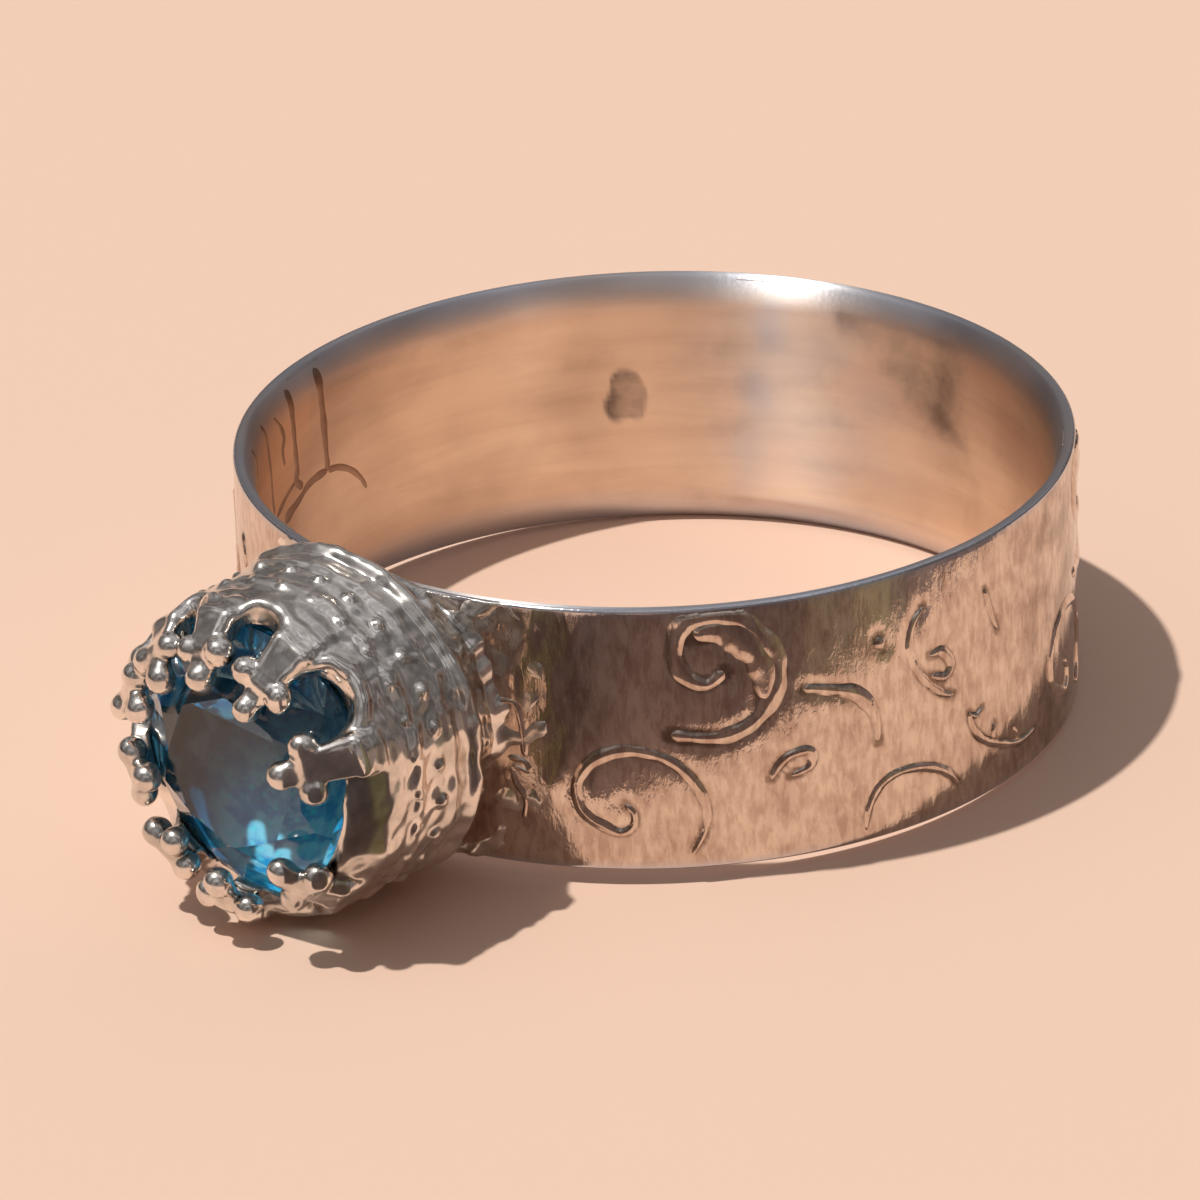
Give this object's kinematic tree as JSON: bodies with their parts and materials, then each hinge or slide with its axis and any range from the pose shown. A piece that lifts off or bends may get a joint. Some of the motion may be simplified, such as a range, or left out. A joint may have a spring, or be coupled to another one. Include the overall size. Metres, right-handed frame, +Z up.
{
  "type": "blue topaz ring",
  "caption": "Silver finger ring with a flat band with raised curls and a round faceted blue stone held by three-bead claws in a tall gallery cup.",
  "frame": {"origin": "centre of the finger hole, halfway along the band's width", "axes": "the stone faces -Y, +Z is up from the surface that the ring lies on, and the finger's axis leans a little from +Z towards +Y, as the ring lies by itself"},
  "size_m": [0.02, 0.0259, 0.0082],
  "materials": {
    "silver": "polished silver, darkened in the recesses of the cup and the curls",
    "topaz": "clear deep blue cut stone, polished"
  },
  "bodies": {
    "root": {"band_and_setting": "silver", "topaz": "topaz"}
  },
  "joints": []
}
